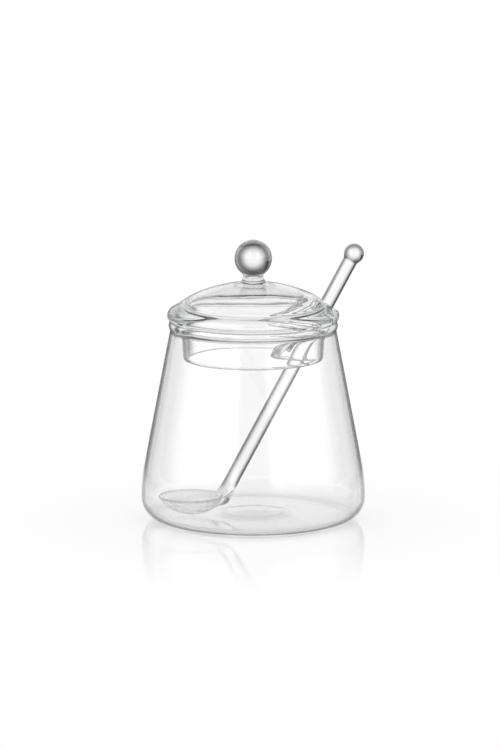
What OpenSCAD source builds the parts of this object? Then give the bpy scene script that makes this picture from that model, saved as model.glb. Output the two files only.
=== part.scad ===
// Glass jam pot with a domed lid and a ladle spoon.
// Millimetres. Z is up. The origin is on the pot's axis, in the plane of its foot.
// The spoon leans towards +X, in the XZ plane.

/* [Pot] */
// Widest outer diameter of the pot, at its heel
pot_d = 90; // [84:1:104]
// Height of the middle of the rim bead above the foot
rim_h = 78.7; // [70:0.1:94]
// Diameter of the circle that the rim bead's middle follows
mouth_d = 64; // [62:0.5:68]
// Thickness of the rim bead
bead_d = 4; // [3:0.1:4.6]
// Wall thickness of the pot
pot_wall = 1.8; // [1.4:0.1:2.2]
// Outer radius of the rounded heel
heel_r = 9; // [7:0.5:11]
// Radius of the soft curve between the heel and the straight side
side_r = 70; // [50:1:90]
// Radius of the pushed-up middle of the base
punt_r = 17; // [12:0.5:24]
// Height of the pushed-up middle of the base
punt_h = 1.5; // [0.8:0.1:2.5]

/* [Lid] */
// Height of the dome's crown above the flange's top
dome_rise = 11.6; // [10:0.1:14]
// Radius of the turn between the dome and the flange
dome_turn_r = 5; // [4:0.1:6]
// Width of the flat ledge between the dome and the flange's round edge
ledge_w = 2.4; // [1.6:0.1:3.2]
// Wall thickness of the dome and the notch
lid_wall = 1.8; // [1.4:0.1:2.2]
// How far the flange reaches past the middle of the rim bead
flange_over = 1.9; // [1.2:0.1:2.6]
// Thickness of the flange
flange_t = 3.4; // [2.8:0.1:4]
// Height of the collar below the flange
collar_h = 16.3; // [12:0.1:19]
// Gap between the top of the collar and the rim bead round it
collar_room = 1.2; // [0.8:0.1:1.8]
// How much the collar's radius shrinks from its top to its lower edge
collar_taper = 0.7; // [0.3:0.1:1.2]
// Wall thickness of the collar
collar_wall = 1.7; // [1.4:0.1:2]

/* [Knob] */
// Diameter of the knob's ball
knob_d = 15; // [12:0.5:18]
// Height of the ball's middle above the dome's crown
knob_h = 9.6; // [9:0.1:12]
// Diameter of the neck under the ball
knob_neck_d = 7.6; // [6:0.1:9]
// Diameter of the flared foot of the neck
knob_foot_d = 14; // [11:0.1:16]
// Thickness of the foot at its edge
knob_foot_t = 0.3; // [0.2:0.05:0.6]

/* [Notch] */
// Angle the lid is turned, from the spoon to the middle of the notch
lid_turn = 9; // [6:0.5:10]
// Room between the rod and the notch's side, in the notch's rounded inner end
notch_side_room = 7.5; // [7.2:0.1:8.5]
// Room between the rod and the notch's inner end, at the middle of the flange
notch_end_room = 3.8; // [3.7:0.1:5.4]
// Lean of the notch past the lean of the handle
notch_tilt = 3.7; // [1:0.1:4.5]
// Angle at which the notch's near side opens outward
notch_near_flare = 14; // [8:1:20]
// Angle at which the notch's far side opens outward
notch_far_flare = 45; // [20:1:50]

/* [Spoon] */
// Diameter of the handle's rod
rod_d = 5.8; // [4:0.1:6.2]
// Diameter of the ball at the handle's end
tip_d = 8; // [6.5:0.1:9]
// Distance along the handle from the rim bead's height to the middle of the ball
handle_out = 31.5; // [26:0.1:44]
// Outer radius of the sphere that the bowl is cut from
bowl_r = 15.3; // [14:0.1:16.5]
// Outer depth of the bowl
bowl_depth = 8.3; // [7:0.1:9.5]
// Wall thickness of the bowl
bowl_wall = 1.6; // [1.3:0.1:2]
// Gap between the bowl's rim and the pot's side
bowl_room = 4.2; // [1:0.1:6]

/* [Fits] */
// Gap between loose pieces where one rests on another
seat_gap = 0.3; // [0.2:0.05:0.4]

/* [Hidden] */

$fn = 96;
// Segments in each rounded stretch of an outline
arc_steps = 12;
// How far a cutting shape runs past what it cuts
cut_over = 5;

pot_r = pot_d / 2;
bead_r = bead_d / 2;
mouth_r = mouth_d / 2;
// Centre of the arc between the heel and the straight side
side_x = pot_r - side_r;
// The straight side is the tangent from the wall at the bead to that arc
side_top_r = mouth_r + pot_wall / 2;
side_reach = norm([side_top_r - side_x, rim_h - heel_r]);
side_lean = atan2(rim_h - heel_r, side_top_r - side_x) - acos(side_r / side_reach);
// Sphere that the pushed-up base follows
punt_sphere_r = (punt_r * punt_r + punt_h * punt_h) / (2 * punt_h);

// The flange rests on top of the rim bead
flange_low = rim_h + bead_r + seat_gap;
flange_mid = flange_low + flange_t / 2;
flange_top = flange_low + flange_t;
flange_ring_r = mouth_r + flange_over - flange_t / 2;
crown_z = flange_top + dome_rise;
turn_x = flange_ring_r - ledge_w - dome_turn_r;
// The dome's sphere meets the turn smoothly, and the turn ends on the flange's top
dome_r = (turn_x * turn_x + dome_rise * dome_rise - dome_turn_r * dome_turn_r)
    / (2 * (dome_rise - dome_turn_r));
dome_z = crown_z - dome_r;
dome_edge_angle = atan2(turn_x, flange_top - dome_z);
collar_low = flange_low - collar_h;
collar_top_r = mouth_r - bead_r - collar_room;
collar_low_r = collar_top_r - collar_taper;

knob_z = crown_z + knob_h;
knob_r = knob_d / 2;
knob_neck_r = knob_neck_d / 2;
knob_foot_r = knob_foot_d / 2;
// The neck flares in a hollow curve down to the dome's face
knob_flare_r = knob_foot_r - knob_neck_r;
knob_foot_z = dome_z + sqrt(dome_r * dome_r - knob_foot_r * knob_foot_r);

rod_r = rod_d / 2;
tip_r = tip_d / 2;
// The bowl rests on the floor of the pot, near its side
bowl_low = pot_wall + seat_gap;
bowl_z = bowl_low + bowl_r;
bowl_rim_z = bowl_low + bowl_depth;
bowl_rim_r = sqrt(bowl_r * bowl_r - pow(bowl_z - bowl_rim_z, 2));
bowl_x = bowl_rim_r + bowl_room + pot_wall - pot_r;
rod_foot_x = bowl_x + bowl_rim_r;
// The rod leans on the inside of the rim bead
bead_dx = mouth_r - rod_foot_x;
bead_dz = rim_h - bowl_rim_z;
rod_lean = atan2(bead_dx, bead_dz) - asin((bead_r + seat_gap + rod_r) / norm([bead_dx, bead_dz]));
handle_l = bead_dz / cos(rod_lean) + handle_out;
// How far the rod runs down the outside of the bowl, below its rim
rod_heel_share = 0.6;
rod_heel = rod_d * rod_heel_share;

// The notch follows the rod up through the lid
notch_r = rod_r + notch_side_room;
notch_lean = rod_lean + notch_tilt;
notch_in = rod_foot_x + (flange_mid - bowl_rim_z) * tan(rod_lean) - rod_r / cos(rod_lean) - notch_end_room;
notch_l = 2 * (crown_z - collar_low);
notch_reach = 2 * flange_ring_r;

// Points of an arc round [x, z], from angle a0 to a1, measured from +X
function arc(x, z, r, a0, a1, steps = arc_steps) =
    [for (i = [0:steps]) let (a = a0 + (a1 - a0) * i / steps) [x + r * cos(a), z + r * sin(a)]];

// Angle at which the pushed-up base, moved inward, reaches the flat of the foot
function punt_edge(inset) =
    acos((punt_sphere_r + inset - punt_h) / (punt_sphere_r + inset));

// Outline of the pot's base and side, moved inward from the outer face
function pot_outline(inset) = concat(
    arc(0, punt_h - punt_sphere_r, punt_sphere_r + inset, 90, 90 - punt_edge(inset)),
    arc(pot_r - heel_r, heel_r, heel_r - inset, -90, 0),
    arc(side_x, heel_r, side_r - inset, 0, side_lean),
    [[side_top_r - inset / cos(side_lean), rim_h], [0, rim_h]]
);

// Flat outline of the notch, seen along its lean, with its inner end at zero
module notch_outline(grow) {
    r = notch_r + grow;
    near = notch_near_flare;
    far = notch_far_flare;
    near_tip = [-r * sin(near) + notch_reach * cos(near), -r * cos(near) - notch_reach * sin(near)];
    far_tip = [-r * sin(far) + notch_reach * cos(far), r * cos(far) + notch_reach * sin(far)];
    translate([notch_r, 0])
        polygon(concat(arc(0, 0, r, 90 + far, 270 - near), [near_tip, far_tip]));
}

// The leaning trough of the notch, turned with the lid
module notch_trough(grow) {
    rotate([0, 0, lid_turn])
        translate([notch_in, 0, flange_mid])
            rotate([0, notch_lean, 0])
                translate([0, 0, -notch_l / 2])
                    linear_extrude(notch_l)
                        notch_outline(grow);
}

// Everything inside the dome's outer face, down to the flange's underside
module dome_filled() {
    rotate_extrude()
        polygon(concat(
            [[0, flange_low]],
            arc(0, dome_z, dome_r, 90, 90 - dome_edge_angle),
            arc(turn_x, flange_top, dome_turn_r, 90 - dome_edge_angle, 0),
            arc(flange_ring_r, flange_mid, flange_t / 2, 90, -90)
        ));
}

module dome_hollow() {
    rotate_extrude()
        polygon(concat(
            [[0, flange_low - cut_over]],
            arc(0, dome_z, dome_r - lid_wall, 90, 90 - dome_edge_angle),
            arc(turn_x, flange_top, dome_turn_r - lid_wall, 90 - dome_edge_angle, 0),
            [
                [collar_top_r - collar_wall, flange_mid],
                [collar_top_r - collar_wall, flange_low - cut_over]
            ]
        ));
}

module collar_filled() {
    rotate_extrude()
        polygon(concat(
            [[0, collar_low], [0, flange_low], [collar_top_r, flange_low]],
            arc(collar_low_r - collar_wall / 2, collar_low + collar_wall / 2, collar_wall / 2, 0, -90)
        ));
}

module collar_hollow() {
    rotate_extrude()
        polygon([
            [0, collar_low - cut_over],
            [collar_low_r - collar_wall, collar_low - cut_over],
            [collar_low_r - collar_wall, collar_low],
            [collar_top_r - collar_wall, flange_low],
            [collar_top_r - collar_wall, flange_low + cut_over],
            [0, flange_low + cut_over]
        ]);
}

// A hollow shape with the notch pressed into it: children are the filled shape and its hollow
module pressed(wall) {
    difference() {
        children(0);
        difference() {
            children(1);
            notch_trough(wall);
        }
        notch_trough(0);
    }
}

module pot() {
    color([0.86, 0.9, 0.9, 0.35]) {
        rotate_extrude() {
            difference() {
                polygon(pot_outline(0));
                polygon(pot_outline(pot_wall));
            }
            translate([mouth_r, rim_h]) circle(r = bead_r);
        }
    }
}

module lid_dome() {
    color([0.84, 0.89, 0.9, 0.35])
        pressed(lid_wall) {
            dome_filled();
            dome_hollow();
        }
}

module lid_collar() {
    color([0.8, 0.88, 0.9, 0.35])
        pressed(collar_wall) {
            collar_filled();
            collar_hollow();
        }
}

module lid_knob() {
    color([0.75, 0.8, 0.82, 0.5]) {
        difference() {
            union() {
                translate([0, 0, knob_z]) sphere(r = knob_r);
                rotate_extrude()
                    polygon(concat(
                        [[0, knob_z], [0, dome_z], [knob_foot_r, dome_z]],
                        arc(knob_foot_r, knob_foot_z + knob_foot_t + knob_flare_r, knob_flare_r, 270, 180),
                        [[knob_neck_r, knob_z]]
                    ));
            }
            translate([0, 0, dome_z]) sphere(r = dome_r);
        }
    }
}

module bowl_filled() {
    intersection() {
        translate([bowl_x, 0, bowl_z]) sphere(r = bowl_r);
        translate([bowl_x - bowl_r, -bowl_r, bowl_low - cut_over])
            cube([2 * bowl_r, 2 * bowl_r, bowl_depth + cut_over]);
    }
}

module spoon_handle() {
    color([0.8, 0.84, 0.86, 0.5]) {
        difference() {
            translate([rod_foot_x, 0, bowl_rim_z])
                rotate([0, rod_lean, 0]) {
                    translate([0, 0, -rod_heel]) cylinder(h = handle_l + rod_heel, r = rod_r);
                    translate([0, 0, -rod_heel]) sphere(r = rod_r);
                    translate([0, 0, handle_l]) sphere(r = tip_r);
                }
            bowl_filled();
        }
    }
}

module spoon_bowl() {
    color([0.82, 0.86, 0.88, 0.4]) {
        difference() {
            bowl_filled();
            translate([bowl_x, 0, bowl_z]) sphere(r = bowl_r - bowl_wall);
        }
    }
}

pot();
lid_dome();
lid_collar();
lid_knob();
spoon_handle();
spoon_bowl();
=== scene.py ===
import math

import bpy
import numpy as np
from bpy.props import FloatProperty, IntProperty, PointerProperty, StringProperty
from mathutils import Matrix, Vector


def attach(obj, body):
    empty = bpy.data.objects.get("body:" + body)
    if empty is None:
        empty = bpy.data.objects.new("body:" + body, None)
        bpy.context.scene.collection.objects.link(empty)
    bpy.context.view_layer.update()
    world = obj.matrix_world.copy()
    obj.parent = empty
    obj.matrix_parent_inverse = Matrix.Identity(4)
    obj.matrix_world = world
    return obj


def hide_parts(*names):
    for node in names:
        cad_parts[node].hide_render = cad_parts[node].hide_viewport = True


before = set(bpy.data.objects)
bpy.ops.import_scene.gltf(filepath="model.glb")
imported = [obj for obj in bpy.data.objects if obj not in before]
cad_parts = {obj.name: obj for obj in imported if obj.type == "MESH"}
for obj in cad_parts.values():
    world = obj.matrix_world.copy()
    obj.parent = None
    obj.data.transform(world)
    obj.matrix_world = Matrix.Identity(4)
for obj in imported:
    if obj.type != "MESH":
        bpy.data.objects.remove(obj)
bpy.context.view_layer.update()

bl_info = {
    "name": "Glass jam pot",
    "version": (1, 0, 0),
    "blender": (4, 5, 0),
    "location": "3D View > Sidebar > Jam Pot",
    "description": "Makes a clear glass jam pot with a notched lid and a ladle spoon",
    "category": "Add Mesh",
}

GLASS_IOR = 1.473  # Typical of borosilicate.
WHITE = (1, 1, 1, 1)

# A mesh attribute of the pot, and its value: the share of the painted edge shade that its inner wall goes without.
INNER_FACE = "inner_face"
INNER_LIGHT = 0.7


def length(name, default, description):
    """A size in metres that a user can change."""
    return FloatProperty(
        name=name, description=description, default=default, unit="LENGTH", subtype="DISTANCE", precision=4
    )


def turn(name, degrees, description):
    """An angle that a user can change."""
    return FloatProperty(
        name=name, description=description, default=math.radians(degrees), unit="ROTATION", subtype="ANGLE"
    )


def hex_colour(name, default):
    """An sRGB hex colour that a user can change."""
    return StringProperty(name=name, description="sRGB hex colour", default=default)


class PotSizes(bpy.types.PropertyGroup):
    """Sizes of the blown pot"""

    width: length("Width", 0.090, "Widest outer diameter, at the heel")
    rim_height: length("Rim height", 0.0787, "Height of the middle of the rim bead")
    mouth: length("Mouth", 0.064, "Diameter of the circle that the rim bead follows")
    bead: length("Rim bead", 0.004, "Thickness of the fire-polished rim bead")
    wall: length("Wall", 0.0018, "Wall thickness")
    heel: length("Heel radius", 0.009, "Outer radius of the rounded heel")
    side: length("Side radius", 0.070, "Radius of the soft curve above the heel")
    punt: length("Punt radius", 0.017, "Radius of the pushed-up middle of the base")
    punt_rise: length("Punt rise", 0.0015, "Height of the pushed-up middle of the base")
    segments: IntProperty(name="Segments", description="Segments round the pot", default=192, min=48)
    tint: hex_colour("Glass tint", "F2F5F5")


class LidSizes(bpy.types.PropertyGroup):
    """Sizes of the lid, its knob and its notch"""

    dome_rise: length("Dome rise", 0.0116, "Height of the crown above the flange")
    dome_turn: length("Dome turn", 0.005, "Radius of the turn between dome and flange")
    inner_turn: length("Inner turn", 0.005, "Radius of the turn inside the dome's edge")
    ledge: length("Ledge", 0.0024, "Flat ledge between the dome and the flange's round edge")
    wall: length("Wall", 0.0018, "Wall thickness of the dome and the collar")
    flange_reach: length("Flange reach", 0.0019, "Reach of the flange past the rim bead's middle")
    flange: length("Flange", 0.0034, "Thickness of the flange")
    collar: length("Collar", 0.0163, "Height of the collar below the flange")
    collar_room: length("Collar room", 0.0012, "Gap between the collar and the rim bead")
    collar_taper: length("Collar taper", 0.0007, "How much the collar narrows downward")
    knob: length("Knob", 0.015, "Diameter of the knob's ball")
    knob_height: length("Knob height", 0.0096, "Height of the ball's middle above the crown")
    neck: length("Neck", 0.0072, "Diameter of the neck under the ball")
    gather: length("Gather", 0.0093, "Radius of the round gather of glass under the knob")
    gather_depth: length("Gather depth", 0.0050, "Depth of the gather below the crown")
    wave: length("Wave", 0.00003, "Height of the waves in the lid's faces")
    notch_turn: turn("Lid turn", 9, "Turn of the lid from the spoon to the notch's middle")
    notch_lean: turn("Notch lean", 32.69, "Lean of the notch from the vertical")
    notch_radius: length("Notch radius", 0.0104, "Radius of the notch's rounded inner end")
    notch_inner: length("Notch depth", 0.02116, "Distance from the axis to the notch's inner end")
    near_flare: turn("Near flare", 14, "Angle at which the notch's near side opens")
    far_flare: turn("Far flare", 45, "Angle at which the notch's far side opens")
    seat: length("Seat gap", 0.0003, "Gap between the rim bead and the flange before its corner is filled")
    step: length("Mesh step", 0.00045, "Size of the mesh's faces")
    tint: hex_colour("Glass tint", "F2F5F5")


class SpoonSizes(bpy.types.PropertyGroup):
    """Sizes of the ladle spoon"""

    rod: length("Rod", 0.0058, "Diameter of the handle's rod")
    tip: length("Tip", 0.008, "Diameter of the ball at the handle's end")
    lean: turn("Lean", 28.99114533, "Lean of the handle from the vertical")
    handle: length("Handle", 0.1095844, "Length from the bowl's rim to the middle of the ball")
    bowl: length("Bowl radius", 0.0153, "Outer radius of the sphere that the bowl is cut from")
    bowl_depth: length("Bowl depth", 0.0083, "Outer depth of the bowl")
    bowl_wall: length("Bowl wall", 0.0016, "Wall thickness of the bowl")
    bowl_low: length("Bowl height", 0.0021, "Height of the bowl's underside")
    bowl_side: length("Bowl side", 0.0253952, "Distance from the pot's axis to the bowl's middle")
    wave: length("Wave", 0.0001, "Height of the waves in the bowl's faces")
    step: length("Mesh step", 0.0004, "Size of the mesh's faces")
    tint: hex_colour("Glass tint", "F2F5F5")


class StageSizes(bpy.types.PropertyGroup):
    """The floor, the light and the camera"""

    floor: length("Floor", 9.0, "Radius of the floor")
    gap: length("Gap", 0.0002, "Gap of air between the floor and the pot's foot")
    distance: length("Distance", 2.28, "Level distance from the pot's axis to the camera")
    height: length("Height", 0.455, "Height of the camera")
    aim: length("Aim height", 0.0583, "Height of the point that the camera looks at")
    aim_left: length("Aim left", 0.0013, "Distance of that point from the pot's axis, to the camera's left")
    camera_turn: turn("Camera turn", 12, "Turn of the camera round the pot, from the spoon's side view")
    lens: FloatProperty(name="Lens", description="Focal length in millimetres", default=277.0)
    bounces: IntProperty(name="Bounces", description="How often light may turn inside the glass", default=32, min=8)
    pool: length("Pool of light", 0.22, "Radius of the pool of light that the glass mirrors")
    floor_colour: hex_colour("Floor colour", "A6A6A6")


def linear(text):
    """Linear colour from an sRGB hex value."""
    channels = [int(text[i:i + 2], 16) / 255 for i in (0, 2, 4)]
    return [c / 12.92 if c <= 0.04045 else ((c + 0.055) / 1.055) ** 2.4 for c in channels] + [1.0]


def add_node(tree, kind, settings=None, stops=(), **links):
    """Adds a node: its properties, a ramp's (position, grey) stops, and its inputs as values or sockets."""
    node = tree.nodes.new(kind)
    for key, value in (settings or {}).items():
        setattr(node, key, value)
    for i, (position, grey) in enumerate(stops):
        elements = node.color_ramp.elements
        element = elements[i] if i < 2 else elements.new(position)
        element.position = position
        element.color = (grey, grey, grey, 1)
    for key, value in links.items():
        socket = node.inputs[int(key[1:]) if key[1:].isdigit() else key.replace("_", " ")]
        if isinstance(value, bpy.types.NodeSocket):
            tree.links.new(value, socket)
        else:
            socket.default_value = value
    return node


def clear_glass(name, tint, density, wave_size, wave_height, zones, fade, foot=None):
    """Borosilicate glass, waved by its making, with painted shade in its colour. zones are (height, stops) pairs
    from the bottom up, where stops give the painted shade's grey from square on, 0, to edge-on, 1. One zone fades
    into the next. Past the foot's radius, a hollow vessel's outer face belongs to the zone above its floor."""
    material = bpy.data.materials.new(name)
    material.use_nodes = True
    tree = material.node_tree
    tree.nodes.clear()
    weight = add_node(tree, "ShaderNodeLayerWeight", Blend=0.5)
    place = add_node(tree, "ShaderNodeTexCoord")
    parts = add_node(tree, "ShaderNodeSeparateXYZ", Vector=place.outputs["Object"])
    up = parts.outputs["Z"]
    if foot is not None:
        flat = add_node(
            tree, "ShaderNodeVectorMath", {"operation": "MULTIPLY"}, _0=place.outputs["Object"], _1=(1, 1, 0)
        )
        out = add_node(tree, "ShaderNodeVectorMath", {"operation": "LENGTH"}, _0=flat.outputs["Vector"])
        under = add_node(tree, "ShaderNodeMath", {"operation": "SUBTRACT"}, _0=out.outputs["Value"], _1=up)
        past = add_node(
            tree, "ShaderNodeMath", {"operation": "SUBTRACT"}, _0=under.outputs[0], _1=foot - zones[1][0]
        )
        up = add_node(tree, "ShaderNodeMath", {"operation": "MAXIMUM"}, _0=up, _1=past.outputs[0]).outputs[0]
    # Painted shade: each zone's ramp greys the glass's colour as its face turns edge-on.
    painted_edge_shade = None
    for height, stops in zones:
        ramp = add_node(tree, "ShaderNodeValToRGB", stops=stops, Fac=weight.outputs["Facing"])
        if painted_edge_shade is None:
            painted_edge_shade = ramp.outputs["Color"]
            continue
        above = add_node(
            tree, "ShaderNodeMapRange", {"interpolation_type": "SMOOTHSTEP"}, Value=up,
            From_Min=height - fade, From_Max=height + fade,
        )
        painted_edge_shade = add_node(
            tree, "ShaderNodeMix", {"data_type": "RGBA"}, _0=above.outputs[0], _6=painted_edge_shade, _7=ramp.outputs["Color"]
        ).outputs[2]
    # The pot's inner wall keeps only part of the painted edge shade.
    if foot is not None:
        inner = add_node(tree, "ShaderNodeAttribute", {"attribute_name": INNER_FACE})
        painted_edge_shade = add_node(
            tree, "ShaderNodeMix", {"data_type": "RGBA"}, _0=inner.outputs["Fac"], _6=painted_edge_shade, _7=WHITE
        ).outputs[2]
    noise = add_node(
        tree, "ShaderNodeTexNoise", Vector=place.outputs["Object"], Scale=1 / wave_size, Detail=1.0
    )
    bump = add_node(tree, "ShaderNodeBump", Height=noise.outputs["Fac"], Distance=wave_height, Strength=1.0)
    # The painted edge shade sets the glass's base colour.
    shader = add_node(
        tree, "ShaderNodeBsdfPrincipled", Base_Color=painted_edge_shade, Roughness=0.0, IOR=GLASS_IOR,
        Transmission_Weight=1.0, Normal=bump.outputs["Normal"],
    )
    volume = add_node(tree, "ShaderNodeVolumeAbsorption", Color=linear(tint), Density=density)
    add_node(
        tree, "ShaderNodeOutputMaterial", Surface=shader.outputs["BSDF"], Volume=volume.outputs["Volume"]
    )
    return material


# Painted shade: the grey that the glass's colour takes by how edge-on it is seen, which stands in for the
# dark edges of walls, and more so of solid rods and balls, that bend light away from the eye. The punt is the
# pot's pushed-up base, the heel is its rounded lower edge, and the tube is the collar.
FLAT = ((0.0, 1.0), (1.0, 1.0))
PUNT = ((0.0, 1.0), (0.83, 1.0), (0.87, 0.80), (0.92, 0.50), (1.0, 0.35))
WALL = (
    (0.0, 1.0), (0.40, 1.0), (0.47, 0.93), (0.50, 0.86), (0.54, 0.82), (0.60, 0.80), (0.63, 0.77), (0.655, 0.72),
    (0.68, 0.66), (0.71, 0.57), (0.73, 0.36), (0.76, 0.14), (0.82, 0.04), (1.0, 0.01),
)
HEEL = (
    (0.0, 1.0), (0.40, 1.0), (0.47, 0.95), (0.54, 0.90), (0.60, 0.78), (0.64, 0.55), (0.68, 0.30), (0.72, 0.12),
    (0.80, 0.03), (1.0, 0.01),
)
DOME = ((0.0, 1.0), (0.4, 0.97), (0.7, 0.95), (1.0, 0.95))
TUBE = (
    (0.0, 1.0), (0.42, 1.0), (0.52, 0.90), (0.58, 0.70), (0.64, 0.38), (0.70, 0.10), (0.75, 0.01), (1.0, 0.01),
)
ROD = (
    (0.0, 1.0), (0.036, 0.96), (0.083, 0.82), (0.154, 0.58), (0.255, 0.26), (0.4, 0.10), (0.55, 0.20), (1.0, 0.5),
)
BALL = (
    (0.0, 1.0), (0.05, 0.88), (0.078, 0.76), (0.102, 0.64), (0.13, 0.48), (0.163, 0.34), (0.2, 0.21), (0.243, 0.13),
    (0.293, 0.07), (0.35, 0.08), (0.41, 0.18), (0.5, 0.5), (0.6, 0.9), (1.0, 1.0),
)


# The waves that add up to a glass face's unevenness: their directions, how close they are, and how far
# in radians each starts after the one before it.
WAVES = ((1, 0.4, 0.3, 1.0), (-0.5, 1, 0.2, 1.2), (0.3, -0.8, 1, 0.8), (0.9, 0.9, -0.6, 1.5))
WAVE_SHIFT = 1.7


def waves(x, y, z, size):
    """Slow uneven waves of a face that was shaped while soft, from -1 to 1, about size apart."""
    total = 0
    for i, (a, b, c, k) in enumerate(WAVES):
        total = total + np.sin((a * x + b * y + c * z) * 2 * math.pi * k / size + WAVE_SHIFT * i)
    return total / len(WAVES)


def smooth_max(a, b, k):
    """The larger of two distances, with the edge between them rounded over k."""
    h = np.maximum(1 - np.abs(a - b) / (1.5 * k), 0)
    return np.maximum(a, b) + h ** 3 * k / 4


def smooth_min(a, b, k):
    """The smaller of two distances, with the corner between them filled over k."""
    return -smooth_max(-a, -b, k)


# Meshing: rounds that even out the points, the share of its own place that a point keeps in a round,
# steps that then bring it back onto the surface, and the least squared slope that a step counts on.
EVEN_ROUNDS = 4
OWN_SHARE = 0.4
SETTLE_STEPS = 2
LEAST_SLOPE = 0.05


def surface(field, low, high, step):
    """Vertices, normals and quads of the surface on which field, a signed distance, is zero."""
    axes = [np.arange(l - 2 * step, h + 2 * step, step) for l, h in zip(low, high)]
    value = field(*np.meshgrid(*axes, indexing="ij"))
    inside = value < 0
    corner = sum(
        inside[i:i - 1 or None, j:j - 1 or None, k:k - 1 or None].astype(np.int8)
        for i in (0, 1) for j in (0, 1) for k in (0, 1)
    )
    active = (corner > 0) & (corner < 8)
    number = np.full(active.shape, -1)
    cells = np.argwhere(active)
    number[active] = np.arange(len(cells))
    points = np.array([a[0] for a in axes]) + (cells + 0.5) * step
    quads = []
    for axis in range(3):
        ahead = np.eye(3, dtype=int)[axis]
        first = np.argwhere(
            inside[: -1 if axis == 0 else None, : -1 if axis == 1 else None, : -1 if axis == 2 else None]
            != inside[1 if axis == 0 else 0:, 1 if axis == 1 else 0:, 1 if axis == 2 else 0:]
        )
        b = np.eye(3, dtype=int)[(axis + 1) % 3]
        c = np.eye(3, dtype=int)[(axis + 2) % 3]
        ring = np.stack([number[tuple((first - o).T)] for o in (0 * ahead, b, b + c, c)], 1)
        flip = inside[tuple(first.T)]
        ring[~flip] = ring[~flip][:, ::-1]
        quads.append(ring)
    quads = np.concatenate(quads)
    ends = np.concatenate([quads[:, [0, 1]], quads[:, [1, 2]], quads[:, [2, 3]], quads[:, [3, 0]]])
    reach = step / 20

    def slope(p):
        return np.stack(
            [(field(*(p + reach * e).T) - field(*(p - reach * e).T)) / (2 * reach) for e in np.eye(3)], 1
        )

    def settle(p, steps):
        for _ in range(steps):
            g = slope(p)
            move = field(*p.T)[:, None] * g / np.maximum((g * g).sum(1), LEAST_SLOPE)[:, None]
            p = p - np.clip(move, -step, step)
        return p

    points = settle(points, SETTLE_STEPS + 1)
    for _ in range(EVEN_ROUNDS):
        total = np.zeros_like(points)
        count = np.zeros(len(points))
        for i, j in ((0, 1), (1, 0)):
            np.add.at(total, ends[:, i], points[ends[:, j]])
            np.add.at(count, ends[:, i], 1)
        points = settle(OWN_SHARE * points + (1 - OWN_SHARE) * total / count[:, None], SETTLE_STEPS)
    normals = slope(points)
    normals /= np.linalg.norm(normals, axis=1)[:, None]
    return points, normals, quads


def smooth_object(name, points, faces, material, normals=None):
    """A smooth-shaded mesh object in the frame's own coordinates."""
    mesh = bpy.data.meshes.new(name)
    mesh.from_pydata(points.tolist(), [], faces.tolist() if isinstance(faces, np.ndarray) else faces)
    mesh.validate()
    mesh.polygons.foreach_set("use_smooth", [True] * len(mesh.polygons))
    if normals is not None:
        mesh.normals_split_custom_set_from_vertices(normals.tolist())
    mesh.materials.append(material)
    piece = bpy.data.objects.new(name, mesh)
    bpy.context.scene.collection.objects.link(piece)
    return piece


def arc(centre, radius, start, end, step):
    """Points of an arc in the outline's plane, with angles in radians."""
    count = max(4, int(abs(end - start) * radius / step))
    angle = np.linspace(start, end, count + 1)
    return np.stack([centre[0] + radius * np.cos(angle), centre[1] + radius * np.sin(angle)], 1)


def pot_face(s, inset, step):
    """Outline of the pot's base and side, moved inward from the outer face."""
    width = s.width / 2
    sphere = (s.punt ** 2 + s.punt_rise ** 2) / (2 * s.punt_rise)
    edge = math.acos((sphere + inset - s.punt_rise) / (sphere + inset))
    side_x = width - s.side
    top = s.mouth / 2 + s.wall / 2
    rise = s.rim_height - s.heel
    lean = math.atan2(rise, top - side_x) - math.acos(s.side / math.hypot(top - side_x, rise))
    right = math.pi / 2
    return np.concatenate([
        arc((0, s.punt_rise - sphere), sphere + inset, right, right - edge, step),
        arc((width - s.heel, s.heel), s.heel - inset, -right, 0, step),
        arc((side_x, s.heel), s.side - inset, 0, lean, step),
        [[top - inset / math.cos(lean), s.rim_height]],
    ])


def evenly(points, step):
    """The same line with points at even steps."""
    along = np.concatenate([[0], np.cumsum(np.linalg.norm(np.diff(points, axis=0), axis=1))])
    at = np.linspace(0, along[-1], int(along[-1] / step) + 1)
    return np.stack([np.interp(at, along, points[:, i]) for i in (0, 1)], 1)


# The pot's outline: how far from its middle, in bead radii, the rim bead takes over from the wall, rounds
# that soften the outline, and the gap and the length, in walls, up to which its points are thinned out.
BEAD_JOIN = 1.12
SOFT_ROUNDS = 6
FLAT_GAP = 1 / 2000
LONGEST = 0.7


def pot_outline(s):
    """The pot's whole section, from the middle of its underside over the rim to the middle of its floor."""
    step = s.wall / 5
    bead = s.bead / 2
    centre = np.array([s.mouth / 2, s.rim_height])
    outer = evenly(pot_face(s, 0, step), step)
    inner = evenly(pot_face(s, s.wall, step), step)
    outer = outer[np.linalg.norm(outer - centre, axis=1) > bead * BEAD_JOIN]
    inner = inner[np.linalg.norm(inner - centre, axis=1) > bead * BEAD_JOIN]
    start, end = [math.atan2(*(line[-1] - centre)[::-1]) for line in (outer, inner)]
    rim = arc(centre, bead, start, end + 2 * math.pi, step)[1:-1]
    line = evenly(np.concatenate([outer, rim, inner[::-1]]), step)
    for _ in range(SOFT_ROUNDS):
        line[1:-1] = (line[:-2] + 2 * line[1:-1] + line[2:]) / 4
    keep = [0]
    for i in range(1, len(line) - 1):
        a, b = line[keep[-1]], line[i + 1]
        d = (b - a) / max(np.linalg.norm(b - a), 1e-9)
        gaps = line[keep[-1]:i + 1] - a
        off = np.abs(gaps[:, 0] * d[1] - gaps[:, 1] * d[0]).max()
        if off > FLAT_GAP * s.wall or np.linalg.norm(b - a) > LONGEST * s.wall:
            keep.append(i)
    return line[keep + [len(line) - 1]]


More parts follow.
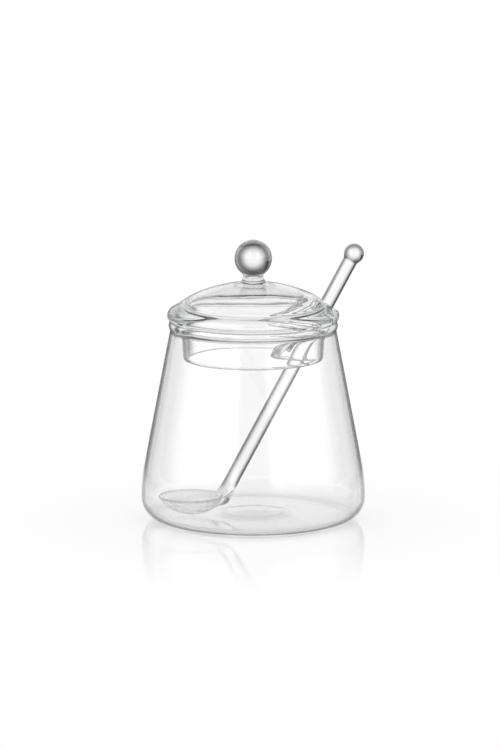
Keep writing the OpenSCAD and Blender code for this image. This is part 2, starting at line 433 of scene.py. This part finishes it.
def revolve(outline, segments):
    """Vertices and faces of an outline turned round Z; its first and last points are on the axis."""
    angle = np.arange(segments) * 2 * math.pi / segments
    rows = outline[1:-1]
    ring = np.stack([
        rows[:, :1] * np.cos(angle), rows[:, :1] * np.sin(angle), rows[:, 1:] * np.ones(segments)
    ], -1).reshape(-1, 3)
    points = np.concatenate([ring, [[0, 0, outline[0, 1]], [0, 0, outline[-1, 1]]]])
    faces = []
    for r in range(len(rows) - 1):
        for i in range(segments):
            j = (i + 1) % segments
            faces.append([r * segments + i, r * segments + j, (r + 1) * segments + j, (r + 1) * segments + i])
    first, last = len(ring), len(ring) + 1
    top = (len(rows) - 1) * segments
    for i in range(segments):
        j = (i + 1) % segments
        faces.append([first, j, i])
        faces.append([last, top + i, top + j])
    return points, faces


class JAMPOT_OT_pot(bpy.types.Operator):
    """Make the blown glass pot with its rim bead, rounded heel and pushed-up base"""

    bl_idname = "jampot.pot"
    bl_label = "Make Pot"

    def execute(self, context):
        s = context.scene.jampot_pot
        # Clear borosilicate, blown and fire-polished: nearly no tint, with slow waves in its wall.
        floor_top = 1.5 * s.wall
        # The painted edge shade of the punt, the heel and the wall, from the bottom up.
        zones = ((0, PUNT), (floor_top, HEEL), (0.9 * s.heel, WALL))
        foot = s.width / 2 - s.heel + s.wall / 2
        glass = clear_glass(
            "blown borosilicate glass", s.tint, density=12.0, wave_size=0.030, wave_height=0.000004, zones=zones,
            fade=s.wall / 2, foot=foot,
        )
        outline = pot_outline(s)
        points, faces = revolve(outline, s.segments)
        pot = smooth_object("pot_glass", points, faces, glass)
        # The inner wall is seen through the outer one, whose painted edge shade already darkens the edge.
        inner = np.arange(len(outline)) > outline[:, 1].argmax()
        inner &= (outline[:, 1] > floor_top) & (outline[:, 1] < s.rim_height - s.bead)
        light = INNER_LIGHT * np.concatenate([np.repeat(inner[1:-1], s.segments), inner[[0, -1]]])
        pot.data.attributes.new(INNER_FACE, "FLOAT", "POINT").data.foreach_set("value", light)
        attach(pot, "pot")
        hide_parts("pot")
        return {"FINISHED"}


# Radii, in metres, to which the flame fills the lid's corners and rounds its edges. The fill between dome and
# flange is so wide that the flange's underside swells too, and crosses the top of the rim bead by 0.9 mm.
FLANGE_FILL = 0.0080
COLLAR_FILL = 0.0010
NECK_FILL = 0.0042
BALL_FILL = 0.0012
GATHER_FILL = 0.0020
NECK_END = 0.0010
NOTCH_EDGE = 0.0022
NOTCH_INNER_EDGE = 0.0030
LEDGE_EDGE = 0.0045
COLLAR_TOP_EDGE = 0.0006
COLLAR_LOW_EDGE = 0.0016
DOME_EDGE = 1.17  # In turns: the fill that comes nearest to a round turn.

# Lengths of the lid's waves in metres, and how high they are in units of the lid's own wave height: on the
# flange, where they also stand out a little, inside the dome, and round the notch.
FLANGE_WAVES = 0.010
FLANGE_SWELL = 0.2
INNER_WAVES = 0.030
INNER_HEIGHT = 2
NOTCH_WAVES = 0.006
NOTCH_HEIGHT = 8


def lid_field(s, pot):
    """Signed distance to the fused lid: knob, neck, dome, flange and collar, with the notch pressed in."""
    mouth = pot.mouth / 2
    low = pot.rim_height + pot.bead / 2 + s.seat
    middle = low + s.flange / 2
    top = low + s.flange
    ring = mouth + s.flange_reach - s.flange / 2
    turn_x = ring - s.ledge - s.dome_turn
    rise = s.dome_rise
    sphere = (turn_x ** 2 + rise ** 2 - s.dome_turn ** 2) / (2 * (rise - s.dome_turn))
    crown = top + rise
    centre = crown - sphere
    collar_low = low - s.collar
    collar_top_r = mouth - pot.bead / 2 - s.collar_room
    knob_z = crown + s.knob_height
    lean = s.notch_lean

    def dome(r, z, inset, t):
        a = np.hypot(r, z - centre) - (sphere - inset)
        b = r - (turn_x + s.dome_turn - inset)
        return smooth_max(a, b, DOME_EDGE * t)

    def collar(r, z, inset):
        radius = collar_top_r - s.collar_taper * (low - z) / s.collar - inset
        return r - radius

    def notch(x, y, z):
        across = math.cos(s.notch_turn) * x + math.sin(s.notch_turn) * y
        v = -math.sin(s.notch_turn) * x + math.cos(s.notch_turn) * y
        u = (across - s.notch_inner) * math.cos(lean) - (z - middle) * math.sin(lean) - s.notch_radius
        near = -v * math.cos(s.near_flare) - u * math.sin(s.near_flare) - s.notch_radius
        far = v * math.cos(s.far_flare) - u * math.sin(s.far_flare) - s.notch_radius
        past_near = u * math.cos(s.near_flare) - v * math.sin(s.near_flare)
        past_far = u * math.cos(s.far_flare) + v * math.sin(s.far_flare)
        round_end = np.hypot(u, v) - s.notch_radius
        sides = np.maximum(np.where(past_near > 0, near, -1), np.where(past_far > 0, far, -1))
        in_round = (past_near <= 0) & (past_far <= 0)
        return np.where(in_round, round_end, np.where(sides > -1, sides, round_end))

    def field(x, y, z):
        r = np.hypot(x, y)
        cut = notch(x, y, z)
        body = np.maximum(dome(r, z, 0, s.dome_turn), top - s.flange / 2 - z)
        flange = np.hypot(np.maximum(r - ring, 0), z - middle) - s.flange / 2
        body = smooth_min(body, flange, FLANGE_FILL)
        collar_out = smooth_max(collar(r, z, 0), z - middle, COLLAR_TOP_EDGE)
        body = smooth_min(body, collar_out, COLLAR_FILL)
        neck_half = (knob_z - crown) / 2 + NECK_END
        neck = smooth_max(r - s.neck / 2, np.abs(z - (crown + knob_z) / 2) - neck_half, NECK_END)
        body = smooth_min(body, neck, NECK_FILL)
        ball = np.sqrt(r * r + (z - knob_z) ** 2) - s.knob / 2
        body = smooth_min(body, ball, BALL_FILL)
        body = smooth_max(body, -cut, NOTCH_EDGE)
        rolled = np.clip((z - low) / s.flange, 0, 1) * np.clip((top + s.wall - z) / s.wall, 0, 1)
        body = body + (FLANGE_SWELL + waves(x, y, z, FLANGE_WAVES)) * s.wave * rolled
        room = smooth_max(dome(r, z, s.wall, s.inner_turn), middle - z, LEDGE_EDGE)
        below = np.maximum(collar(r, z, s.wall), z - top)
        room = smooth_min(room, below, COLLAR_FILL)
        notch_wall = s.wall - cut - NOTCH_HEIGHT * s.wave * waves(x, y, z, NOTCH_WAVES)
        room = smooth_max(room, notch_wall, NOTCH_INNER_EDGE)
        room = room + waves(y, x, z, INNER_WAVES) * INNER_HEIGHT * s.wave
        gather = np.sqrt(r * r + (z - crown - s.gather + s.gather_depth) ** 2) - s.gather
        room = smooth_max(room, -gather, GATHER_FILL)
        shell = np.maximum(body, -room)
        return smooth_max(shell, collar_low - z, COLLAR_LOW_EDGE)

    half = ring + s.flange / 2
    return field, (-half, -half, collar_low), (half, half, knob_z + s.knob / 2)


class JAMPOT_OT_lid(bpy.types.Operator):
    """Make the lid: dome, flange, collar and knob fused into one, with the notch pressed in"""

    bl_idname = "jampot.lid"
    bl_label = "Make Lid"

    def execute(self, context):
        s = context.scene.jampot_lid
        # Clear borosilicate, pressed and lamp-worked: its thicker gathers show streaks and waves.
        field, low, high = lid_field(s, context.scene.jampot_pot)
        flange = low[2] + s.collar
        # The painted edge shade of the collar, the dome and the knob, from the bottom up.
        zones = ((0, TUBE), (flange, DOME), (high[2] - s.knob, BALL))
        glass = clear_glass(
            "pressed borosilicate glass", s.tint, density=14.0, wave_size=0.012, wave_height=0.0001, zones=zones,
            fade=s.wall,
        )
        points, normals, quads = surface(field, low, high, s.step)
        lid = smooth_object("lid_glass", points, quads, glass, normals)
        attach(lid, "lid")
        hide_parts("lid_dome", "lid_collar", "lid_knob")
        return {"FINISHED"}


# Radii, in metres, to which the flame fills the spoon's corners and rounds its edges, how far the rod runs
# below the bowl's rim, in rods, and stops short of the ball's middle, in balls, and the length of the waves.
TIP_FILL = 0.0016
BOWL_FILL = 0.0045
BOWL_EDGE = 0.0012
HOLLOW_EDGE = 0.0006
ROD_FOOT = 0.25
ROD_TOP = 0.6
BOWL_WAVES = 0.003


def spoon_field(s):
    """Signed distance to the fused spoon: rod, ball end and ladle bowl."""
    rim_z = s.bowl_low + s.bowl_depth
    centre_z = s.bowl_low + s.bowl
    rim_r = math.sqrt(s.bowl ** 2 - (centre_z - rim_z) ** 2)
    foot = np.array([-s.bowl_side + rim_r, 0, rim_z])
    along = np.array([math.sin(s.lean), 0, math.cos(s.lean)])
    end = foot + along * s.handle

    def field(x, y, z):
        t = (x - foot[0]) * along[0] + (z - foot[2]) * along[2]
        t = np.clip(t, -ROD_FOOT * s.rod, s.handle - ROD_TOP * s.tip)
        rod = np.sqrt((x - foot[0] - t * along[0]) ** 2 + y * y + (z - foot[2] - t * along[2]) ** 2) - s.rod / 2
        tip = np.sqrt((x - end[0]) ** 2 + y * y + (z - end[2]) ** 2) - s.tip / 2
        rod = smooth_min(rod, tip, TIP_FILL)
        ball = np.sqrt((x + s.bowl_side) ** 2 + y * y + (z - centre_z) ** 2)
        shell = np.abs(ball - s.bowl + s.bowl_wall / 2) - s.bowl_wall / 2
        shell = shell + (1 + waves(x, y, z, BOWL_WAVES)) * s.wave
        bowl = smooth_max(shell, z - rim_z, BOWL_EDGE)
        spoon = smooth_min(rod, bowl, BOWL_FILL)
        hollow = np.maximum(ball - s.bowl + s.bowl_wall, z - rim_z)
        return smooth_max(spoon, -hollow, HOLLOW_EDGE)

    low = (-s.bowl_side - s.bowl, -s.bowl, s.bowl_low)
    return field, low, (end[0] + s.tip / 2, s.bowl, end[2] + s.tip / 2)


class JAMPOT_OT_spoon(bpy.types.Operator):
    """Make the spoon: a glass rod with a ball end, fused to a small round ladle bowl"""

    bl_idname = "jampot.spoon"
    bl_label = "Make Spoon"

    def execute(self, context):
        s = context.scene.jampot_spoon
        # Solid borosilicate rod, drawn and flame-worked, with painted shade that darkens its edges and leaves its
        # middle bright.
        zones = ((0, FLAT), (s.bowl_low + s.bowl_depth + s.rod / 2, ROD))
        glass = clear_glass(
            "flame-worked borosilicate rod", s.tint, density=18.0, wave_size=0.005, wave_height=0.00003,
            zones=zones, fade=s.rod / 4,
        )
        field, low, high = spoon_field(s)
        points, normals, quads = surface(field, low, high, s.step)
        spoon = smooth_object("spoon_glass", points, quads, glass, normals)
        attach(spoon, "spoon")
        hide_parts("spoon_handle", "spoon_bowl")
        return {"FINISHED"}


def background_rays(tree):
    """1 on camera, glossy and transmission rays, which see the white background, and 0 on the rest."""
    path = add_node(tree, "ShaderNodeLightPath")
    bent = add_node(
        tree, "ShaderNodeMath", {"operation": "MAXIMUM"}, _0=path.outputs["Is Glossy Ray"],
        _1=path.outputs["Is Transmission Ray"],
    )
    return add_node(
        tree, "ShaderNodeMath", {"operation": "MAXIMUM"}, _0=path.outputs["Is Camera Ray"], _1=bent.outputs[0]
    ).outputs[0]


def sharp_mirror(tree):
    """1 on rays that a perfectly smooth face mirrors, which see the dim studio, and 0 on the rest."""
    path = add_node(tree, "ShaderNodeLightPath")
    turned = add_node(
        tree, "ShaderNodeMath", {"operation": "SUBTRACT"}, _0=1.0, _1=path.outputs["Is Transmission Ray"]
    )
    return add_node(
        tree, "ShaderNodeMath", {"operation": "MULTIPLY"}, _0=path.outputs["Is Singular Ray"],
        _1=turned.outputs[0],
    ).outputs[0]


# Brightness of the studio as the glass shows it. From the far side, 0, to the camera's side, 1: what the
# glass mirrors is a dim room and two soft panels with a gap between them, and what it bends has a dim strip
# on either side. From left to right, a black flag beside the backdrop. From level, 0, to overhead, 1: the
# ceiling that the glass bends, and the backdrop, which darkens upward before the ceiling's lamps.
PANELS = (
    (0.0, 0.3), (0.22, 0.3), (0.32, 0.12), (0.40, 0.40), (0.55, 0.9), (0.964, 1.0), (0.986, 0.03), (1.0, 0.03),
)
ROOM = ((0.0, 1.0), (0.2, 1.0), (0.28, 0.25), (0.35, 0.05), (0.39, 0.1), (0.44, 0.9), (1.0, 1.0))
FLAG = ((0.0, 0.9), (0.11, 0.9), (0.15, 0.08), (0.21, 0.08), (0.27, 1.0), (1.0, 1.0))
CEILING = ((0.0, 1.0), (0.4, 1.0), (0.5, 0.6), (0.62, 0.2), (0.8, 0.25), (1.0, 0.7))
BACKDROP = ((0.0, 1.0), (0.12, 0.95), (0.23, 0.82), (0.40, 0.55), (0.5, 0.50), (0.65, 0.75), (1.0, 0.85))

# What the glass mirrors from above: how much brighter the panels get up to a rise of 0.2, and the grey of
# the ceiling over rises from 0.65 to 0.95.
PANEL_RISE = 0.2
PANEL_GAIN = 3.2
OVERHEAD = (0.65, 0.95)
OVERHEAD_GREY = (0.4, 0.4, 0.4, 1)


def around(tree, way, side, stops):
    """Brightness of the studio in a direction, by how far it points to one level side."""
    level = add_node(tree, "ShaderNodeVectorMath", {"operation": "MULTIPLY"}, _0=way, _1=(1, 1, 0))
    unit = add_node(tree, "ShaderNodeVectorMath", {"operation": "NORMALIZE"}, _0=level.outputs["Vector"])
    dot = add_node(
        tree, "ShaderNodeVectorMath", {"operation": "DOT_PRODUCT"}, _0=unit.outputs["Vector"], _1=side
    )
    share = add_node(tree, "ShaderNodeMapRange", Value=dot.outputs["Value"], From_Min=-1, From_Max=1)
    return add_node(tree, "ShaderNodeValToRGB", Fac=share.outputs[0], stops=stops).outputs["Color"]


# The floor's polish, the share of light that it mirrors, the glow that brings its seen face up to white,
# and the distances from the pot, in pools of light, over which its mirror image fades.
FLOOR_ROUGHNESS = 0.07
FLOOR_GLOSS = 0.3
FLOOR_GLOW = 0.54
FLOOR_FADE = (0.3, 0.7)
FLOOR_SIDES = 64


def floor_material(colour, pool, towards_camera):
    """Smooth white acrylic sheet: a pale floor with a faint mirror image of what stands on it."""
    material = bpy.data.materials.new("polished white acrylic sheet")
    material.use_nodes = True
    tree = material.node_tree
    tree.nodes.clear()
    place = add_node(tree, "ShaderNodeTexCoord")
    away = add_node(tree, "ShaderNodeVectorMath", {"operation": "LENGTH"}, _0=place.outputs["Object"])
    seen = background_rays(tree)
    matt = add_node(tree, "ShaderNodeBsdfDiffuse", Color=linear(colour))
    gloss = add_node(tree, "ShaderNodeBsdfAnisotropic", Color=WHITE, Roughness=FLOOR_ROUGHNESS)
    mixed = add_node(tree, "ShaderNodeMixShader", Fac=FLOOR_GLOSS, _1=matt.outputs[0], _2=gloss.outputs[0])
    share = add_node(tree, "ShaderNodeMath", {"operation": "MULTIPLY"}, _0=seen, _1=FLOOR_GLOW)
    glow = add_node(tree, "ShaderNodeEmission", Color=WHITE, Strength=share.outputs[0])
    white = add_node(tree, "ShaderNodeAddShader", _0=mixed.outputs[0], _1=glow.outputs[0])
    # The mirror image fades with the distance from the pot, and the floor runs into the white background.
    fade = add_node(
        tree, "ShaderNodeMapRange", {"interpolation_type": "SMOOTHSTEP"}, Value=away.outputs["Value"],
        From_Min=FLOOR_FADE[0] * pool, From_Max=FLOOR_FADE[1] * pool,
    )
    plain = add_node(tree, "ShaderNodeEmission", Color=WHITE, Strength=seen)
    ground = add_node(
        tree, "ShaderNodeMixShader", Fac=fade.outputs[0], _1=white.outputs[0], _2=plain.outputs[0]
    )
    # Clear glass mirrors the lit floor round the pot, and past that a painted studio: for rays that a smooth face
    # mirrors, the floor glows with a dim room and its panels, which draw the glass's edges.
    past = add_node(
        tree, "ShaderNodeMapRange", {"interpolation_type": "SMOOTHSTEP"}, Value=away.outputs["Value"],
        From_Min=pool / 2, From_Max=pool,
    )
    dim = add_node(tree, "ShaderNodeMath", {"operation": "MULTIPLY"}, _0=sharp_mirror(tree), _1=past.outputs[0])
    mirrored = around(tree, place.outputs["Object"], towards_camera, PANELS)
    dusk = add_node(tree, "ShaderNodeEmission", Color=mirrored, Strength=1.0)
    both = add_node(tree, "ShaderNodeMixShader", Fac=dim.outputs[0], _1=ground.outputs[0], _2=dusk.outputs[0])
    add_node(tree, "ShaderNodeOutputMaterial", Surface=both.outputs[0])
    return material


def studio_light(scene, towards_camera):
    """Two soft panels beside the camera in a dim room, and a white background with a black flag beside it."""
    world = bpy.data.worlds.new("studio")
    world.use_nodes = True
    scene.world = world
    tree = world.node_tree
    tree.nodes.clear()
    way = add_node(tree, "ShaderNodeTexCoord")
    parts = add_node(tree, "ShaderNodeSeparateXYZ", Vector=way.outputs["Generated"])
    height = add_node(
        tree, "ShaderNodeMapRange", {"interpolation_type": "SMOOTHSTEP"}, Value=parts.outputs["Z"],
        From_Min=0.0, From_Max=PANEL_RISE, To_Min=1.0, To_Max=PANEL_GAIN,
    )
    bright = add_node(
        tree, "ShaderNodeVectorMath", {"operation": "SCALE"},
        _0=around(tree, way.outputs["Generated"], towards_camera, PANELS), Scale=height.outputs[0],
    )
    overhead = add_node(
        tree, "ShaderNodeMapRange", {"interpolation_type": "SMOOTHSTEP"}, Value=parts.outputs["Z"],
        From_Min=OVERHEAD[0], From_Max=OVERHEAD[1],
    )
    room = add_node(
        tree, "ShaderNodeMix", {"data_type": "RGBA"}, _0=overhead.outputs[0], _6=bright.outputs["Vector"],
        _7=OVERHEAD_GREY,
    )
    backdrop = add_node(tree, "ShaderNodeValToRGB", Fac=parts.outputs["Z"], stops=BACKDROP)
    # The same backdrop as the glass bends it, with the flag, the dim sides and the ceiling of the studio.
    right = (-towards_camera[1], towards_camera[0], 0)
    path = add_node(tree, "ShaderNodeLightPath")
    seen = backdrop.outputs["Color"]
    for shade in (
        around(tree, way.outputs["Generated"], right, FLAG),
        around(tree, way.outputs["Generated"], towards_camera, ROOM),
        add_node(tree, "ShaderNodeValToRGB", Fac=parts.outputs["Z"], stops=CEILING).outputs["Color"],
    ):
        seen = add_node(
            tree, "ShaderNodeMix", {"data_type": "RGBA", "blend_type": "MULTIPLY"},
            _0=path.outputs["Is Transmission Ray"], _6=seen, _7=shade,
        ).outputs[2]
    behind = add_node(
        tree, "ShaderNodeMix", {"data_type": "RGBA"}, _0=sharp_mirror(tree), _6=seen,
        _7=room.outputs[2],
    )
    mixed = add_node(
        tree, "ShaderNodeMix", {"data_type": "RGBA"}, _0=path.outputs["Is Camera Ray"], _6=behind.outputs[2],
        _7=WHITE,
    )
    light = add_node(tree, "ShaderNodeBackground", Color=mixed.outputs[2], Strength=1.0)
    add_node(tree, "ShaderNodeOutputWorld", Surface=light.outputs[0])


class JAMPOT_OT_stage(bpy.types.Operator):
    """Make the floor, the studio light and the camera"""

    bl_idname = "jampot.stage"
    bl_label = "Make Stage"

    def execute(self, context):
        s = context.scene.jampot_stage
        angle = np.arange(FLOOR_SIDES) * 2 * math.pi / FLOOR_SIDES
        ring = np.stack([s.floor * np.cos(angle), s.floor * np.sin(angle), 0 * angle - s.gap], 1)
        a = s.camera_turn
        towards_camera = (-math.sin(a), -math.cos(a), 0)
        material = floor_material(s.floor_colour, s.pool, towards_camera)
        smooth_object("floor", ring, [list(range(FLOOR_SIDES))], material)
        data = bpy.data.cameras.new("camera")
        data.lens = s.lens
        data.clip_end = 5 * s.floor
        camera = bpy.data.objects.new("camera", data)
        context.scene.collection.objects.link(camera)
        studio_light(context.scene, towards_camera)
        spot = Vector((-s.distance * math.sin(a), -s.distance * math.cos(a), s.height))
        right = Vector((math.cos(a), -math.sin(a), 0))
        target = Vector((0, 0, s.aim)) - right * s.aim_left
        camera.location = spot
        camera.rotation_euler = (target - spot).to_track_quat("-Z", "Y").to_euler()
        context.scene.camera = camera
        context.scene.view_settings.view_transform = "Standard"
        # Light turns many times inside the lid's thick edge before it leaves it again.
        context.scene.cycles.max_bounces = s.bounces
        context.scene.cycles.glossy_bounces = s.bounces
        context.scene.cycles.transmission_bounces = s.bounces
        return {"FINISHED"}


class JAMPOT_PT_panel(bpy.types.Panel):
    """Sizes and tools of the jam pot"""

    bl_idname = "JAMPOT_PT_panel"
    bl_label = "Glass Jam Pot"
    bl_space_type = "VIEW_3D"
    bl_region_type = "UI"
    bl_category = "Jam Pot"

    def draw(self, context):
        layout = self.layout
        for group, operator in (
            ("jampot_pot", "jampot.pot"), ("jampot_lid", "jampot.lid"),
            ("jampot_spoon", "jampot.spoon"), ("jampot_stage", "jampot.stage"),
        ):
            box = layout.box()
            sizes = getattr(context.scene, group)
            for key in sizes.bl_rna.properties.keys():
                if key not in ("rna_type", "name"):
                    box.prop(sizes, key)
            box.operator(operator)


GROUPS = {
    "jampot_pot": PotSizes, "jampot_lid": LidSizes, "jampot_spoon": SpoonSizes, "jampot_stage": StageSizes,
}
CLASSES = (JAMPOT_OT_pot, JAMPOT_OT_lid, JAMPOT_OT_spoon, JAMPOT_OT_stage, JAMPOT_PT_panel)


def register():
    for name, group in GROUPS.items():
        bpy.utils.register_class(group)
        setattr(bpy.types.Scene, name, PointerProperty(type=group))
    for item in CLASSES:
        bpy.utils.register_class(item)


def unregister():
    for item in reversed(CLASSES):
        bpy.utils.unregister_class(item)
    for name, group in reversed(GROUPS.items()):
        delattr(bpy.types.Scene, name)
        bpy.utils.unregister_class(group)


def main():
    register()
    bpy.ops.jampot.stage()
    bpy.ops.jampot.pot()
    bpy.ops.jampot.lid()
    bpy.ops.jampot.spoon()


if __name__ == "__main__":
    main()
